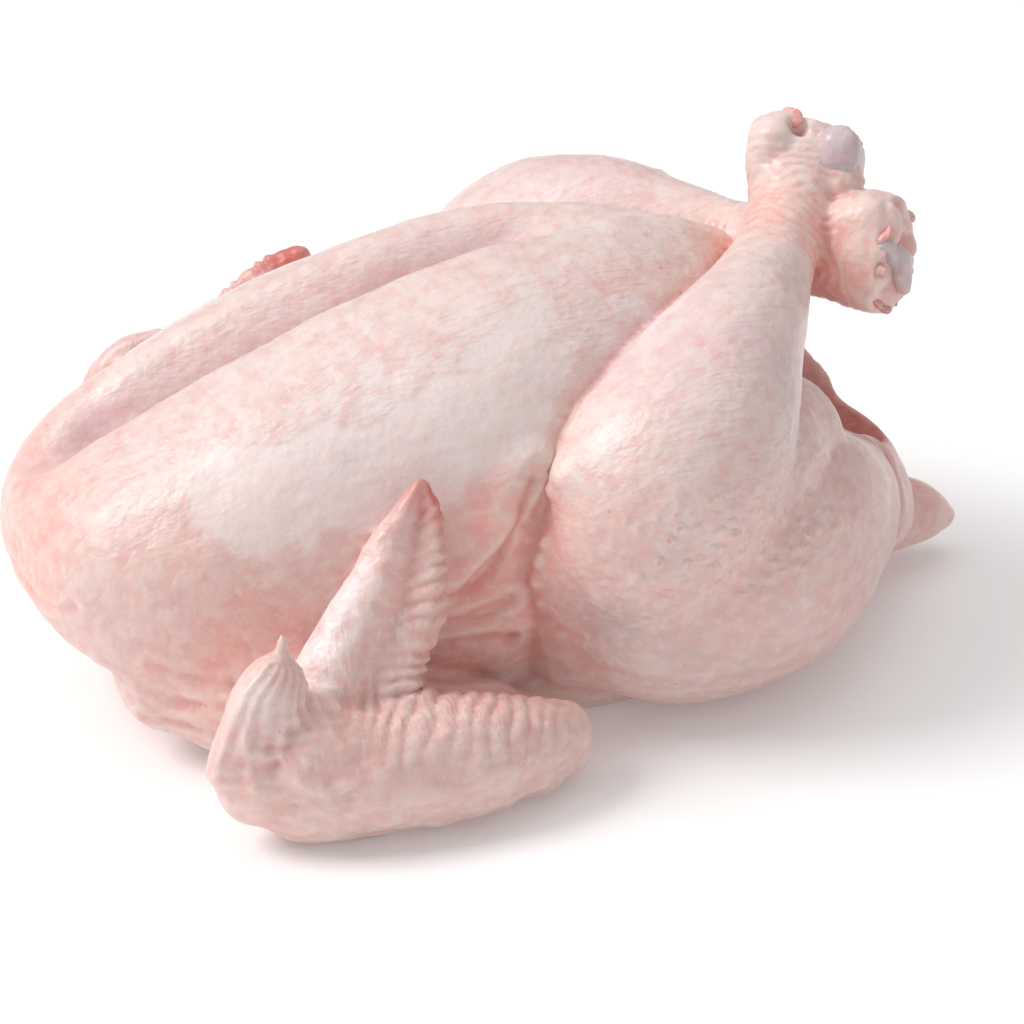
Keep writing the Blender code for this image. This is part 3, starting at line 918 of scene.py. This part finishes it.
def skin_colour(n, skin):
    tone = PALE
    for name, pattern, tint in (("cream", n.span(skin.blotches, 0.35, 0.6, 0.45, 1.0), CREAM),
                                ("blush", n.span(skin.blotches, 0.68, 0.35, 0.55, 1.0), PINK),
                                # The lilac tint also paints shade in the breast's groove.
                                ("lilac_and_shade", n.span(skin.blotches, 0.3, 0.7, 0.6, 0.95), LILAC_AND_SHADE),
                                # The pale bluish tint is a painted highlight.
                                ("painted_highlight", n.span(skin.blotches, 0.35, 0.6, 0.3, 0.85), HIGHLIGHT_WHITE),
                                # The grey tint is partly painted shade.
                                ("grey_and_shade", n.span(skin.mottle, 0.35, 0.65, 0.5, 0.9), GREY_AND_SHADE)):
        tone = n.mix(n.math('MULTIPLY', n.value(name), pattern), tone, tint)
    tone = n.mix(n.span(skin.mottle, 0.50, 0.68, 0.0, 0.34), tone, PINK)
    tone = n.mix(n.span(skin.mottle, 0.48, 0.34, 0.0, 0.30), tone, FAT)
    tone = n.mix(n.math('MULTIPLY', skin.lumps, 0.28), tone, FAT)
    tone = n.mix(n.span(skin.pleats, 0.52, 0.66, 0.0, 0.45), tone, FAT)
    tone = n.mix(n.math('MULTIPLY', n.value("film"), 0.6), tone, FILM_WHITE)
    # Painted shade: darker red in the hollows and creases.
    tone = n.mix(n.math('MULTIPLY', n.value("folds"), 0.5), tone, FOLD_SHADE)
    tone = n.mix(n.math('MULTIPLY', n.value("crests"), 0.45), tone, FAT)
    tone = n.mix(n.math('MULTIPLY', skin.follicle_mound, 0.35), tone, FAT)
    tone = n.mix(n.math('MULTIPLY', skin.follicle_dot, 0.65), tone, ORANGE)
    specks = n.span(n.cells(0.014), 0.05, 0.02)
    tone = n.mix(n.math('MULTIPLY', specks, 0.4), tone, RAW_RED_AND_SHADE)
    # Deeper red, with painted shade on the far leg before its hock.
    return n.mix(n.value("raw"), tone, RAW_RED_AND_SHADE)


def skin_relief(n, skin):
    bare = n.span(n.value("film"), 0.0, 1.0, 1.0, 0.35)
    bare = n.math('MULTIPLY', bare, n.span(n.value("lilac_and_shade"), 0.2, 0.9, 1.0, 0.3))
    streaks = n.math('MULTIPLY', n.noise(0.0010, 1.0, n.stretched((0.22, 1.0, 1.0))), n.value("streaks"))
    height = n.math('MULTIPLY', streaks, STREAK_HEIGHT)
    height = n.math('ADD', height, n.math('MULTIPLY', skin.lumps, LUMP_HEIGHT))
    height = n.math('MULTIPLY', height, bare)
    for pattern, tallness in ((skin.mottle, MOTTLE_HEIGHT), (skin.pleats, PLEAT_HEIGHT),
                              (skin.follicle_mound, MOUND_HEIGHT)):
        height = n.math('ADD', height, n.math('MULTIPLY', pattern, tallness))
    return n.bump(height, 1.0)


def skin_material():
    material = bpy.data.materials.new("raw_skin")
    n = Nodes(material)
    inputs = n.shader.inputs
    skin = SkinPatterns(n)
    n.feed(inputs["Base Color"], skin_colour(n, skin))
    n.feed(inputs["Normal"], skin_relief(n, skin))
    n.feed(inputs["Roughness"], n.span(skin.blotches, 0.3, 0.7, 0.34, 0.52))
    inputs["Specular IOR Level"].default_value = 0.5
    inputs["Coat Weight"].default_value = 0.3
    inputs["Coat Roughness"].default_value = 0.22
    return material


# ---------------------------------------------------------------- cut hocks

# Pieces of gristle that stand out of the cut hocks, and the rims of the skin round them.
GRISTLE = (((135, 0, 131, 7, 7), (136.5, -1, 137, 6.5, 6.5)),
           ((139, -27, 117, 3, 3), (145, -27, 111, 2.6, 3.4), (147, -26, 103, 2.2, 3)),
           ((147, -13, 119, 3, 4), (151, -12, 112, 3, 4), (151, -14, 104, 2.6, 3.5)))
TORN_RIMS = ((FAR_DRUMSTICK, (0, 0, 1), 12), (NEAR_DRUMSTICK, NEAR_HOCK_UP, 5))


def roughened(mesh, amount, seed):
    surface = Surface(mesh)
    surface.co += amount * rough(surface.co, 4.0, seed)[:, None] * surface.normals()
    surface.write()
    return mesh


def gristle():
    lumps = [roughened(limb("gristle", path, steps=12, sides=48), 0.8, 91) for path in GRISTLE]
    return link("hock_gristle", joined("hock_gristle", lumps))


def torn_rim(stations, up, count):
    """Small ragged tags of skin round the cut end of a leg."""
    end, before = np.array(stations[-1], float), np.array(stations[-2], float)
    along = (end - before)[:3] / np.linalg.norm((end - before)[:3])
    side = np.cross(along, up)
    side /= np.linalg.norm(side)
    over = np.cross(side, along)
    tags = []
    for k in range(count):
        turn = 2 * math.pi * k / count + 0.5 * math.sin(5.0 * k)
        outward = math.cos(turn) * end[3] * side + math.sin(turn) * end[4] * over
        root = end[:3] + 0.8 * outward
        width = 3.0 + 1.0 * math.sin(7.0 * k)
        reach = along * (2.6 + 1.2 * math.cos(3.0 * k)) + 0.10 * outward
        path = [np.append(root + t * reach, (width * w, 1.3 * w))
                for t, w in ((0, 1.2), (0.4, 1.1), (0.8, 0.85), (1.0, 0.5))]
        tags.append(roughened(limb("tag", path, up=outward, steps=4, sides=16), 0.9, 92 + k))
    return tags


def torn_skin():
    tags = [tag for rim in TORN_RIMS for tag in torn_rim(*rim)]
    return link("torn_skin", joined("torn_skin", tags))


def gristle_material():
    material = bpy.data.materials.new("gristle")
    n = Nodes(material)
    inputs = n.shader.inputs
    tone = n.mix(n.span(n.noise(0.005, 3.0), 0.35, 0.65), GRISTLE_BLUE, GRISTLE_PINK)
    n.feed(inputs["Base Color"], tone)
    n.feed(inputs["Normal"], n.bump(n.noise(0.0015, 3.0), 0.0002))
    n.feed(inputs["Roughness"], n.span(n.noise(0.003), 0.3, 0.7, 0.22, 0.4))
    inputs["Subsurface Weight"].default_value = 0.3
    inputs["Subsurface Radius"].default_value = (1.0, 0.6, 0.5)
    inputs["Subsurface Scale"].default_value = 0.003
    inputs["Coat Weight"].default_value = 0.3
    inputs["Coat Roughness"].default_value = 0.2
    return material


def torn_material():
    material = bpy.data.materials.new("torn_skin")
    n = Nodes(material)
    inputs = n.shader.inputs
    n.feed(inputs["Base Color"], n.mix(n.span(n.noise(0.003, 3.0), 0.35, 0.65), PALE, PINK))
    n.feed(inputs["Normal"], n.bump(n.noise(0.001, 3.0), 0.0003))
    n.feed(inputs["Roughness"], n.span(n.noise(0.002), 0.3, 0.7, 0.3, 0.5))
    inputs["Subsurface Weight"].default_value = 0.25
    inputs["Subsurface Radius"].default_value = (1.0, 0.35, 0.2)
    inputs["Subsurface Scale"].default_value = 0.003
    return material


# ---------------------------------------------------------------- stage

def floor():
    bm = bmesh.new()
    bmesh.ops.create_grid(bm, x_segments=1, y_segments=1, size=3.0)
    mesh = bpy.data.meshes.new("floor")
    bm.to_mesh(mesh)
    bm.free()
    obj = link("floor", mesh)
    material = bpy.data.materials.new("floor")
    material.use_nodes = True
    shader = material.node_tree.nodes["Principled BSDF"]
    shader.inputs["Base Color"].default_value = (0.95, 0.95, 0.95, 1.0)
    shader.inputs["Roughness"].default_value = 0.9
    shader.inputs["Emission Color"].default_value = (1.0, 1.0, 1.0, 1.0)
    shader.inputs["Emission Strength"].default_value = 0.12
    shader.inputs["Specular IOR Level"].default_value = 0.1
    mesh.materials.append(material)


def area_light(name, place, target, size, power):
    light = bpy.data.lights.new(name, 'AREA')
    light.energy = power
    light.size = size
    obj = bpy.data.objects.new(name, light)
    bpy.context.scene.collection.objects.link(obj)
    obj.location = place
    obj.rotation_euler = (Vector(target) - Vector(place)).to_track_quat('-Z', 'Y').to_euler()


def lights():
    scene = bpy.context.scene
    world = bpy.data.worlds.new("studio")
    world.use_nodes = True
    background = world.node_tree.nodes["Background"]
    background.inputs["Color"].default_value = (1.0, 1.0, 1.0, 1.0)
    background.inputs["Strength"].default_value = 0.42
    scene.world = world
    area_light("key", (-2.6, 0.7, 2.8), (0, 0, 0.05), 1.8, 92.0)
    area_light("top", (0.0, 0.9, 4.5), (0, 0, 0.05), 4.5, 54.0)
    scene.view_settings.view_transform = 'Standard'
    scene.view_settings.look = 'None'


CAMERA_AZIMUTH = math.radians(-20.0)
CAMERA_ELEVATION = math.radians(27.0)
CAMERA_DISTANCE = 1.10 * UNIT / 0.001
CAMERA_TARGET = (Vector((37.2, 0.0, 37.0)) - DRAWN_CENTRE) * UNIT
CAMERA_LENS = 133.33


def camera():
    data = bpy.data.cameras.new("camera")
    data.lens = CAMERA_LENS
    data.sensor_width = 36.0
    data.clip_start = 0.01
    obj = bpy.data.objects.new("camera", data)
    bpy.context.scene.collection.objects.link(obj)
    az, el = CAMERA_AZIMUTH, CAMERA_ELEVATION
    right = Vector((math.cos(az), math.sin(az), 0))
    up = Vector((-math.sin(el) * math.sin(az), math.sin(el) * math.cos(az), math.cos(el)))
    back = Vector((math.sin(az) * math.cos(el), -math.cos(az) * math.cos(el), math.sin(el)))
    place = Matrix((right, up, back)).transposed().to_4x4()
    place.translation = CAMERA_TARGET + back * CAMERA_DISTANCE
    obj.matrix_world = place
    bpy.context.scene.camera = obj


# ---------------------------------------------------------------- the scene

camera()
lights()
floor()

skin = build_skin()
add_tints(skin.data)
for piece, material in ((skin, skin_material()), (gristle(), gristle_material()),
                        (torn_skin(), torn_material())):
    piece.data.transform(Matrix.Translation(-DRAWN_CENTRE * UNIT))
    piece.data.shade_smooth()
    piece.data.materials.clear()
    piece.data.materials.append(material)
    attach(piece, "root")
    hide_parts("chicken")
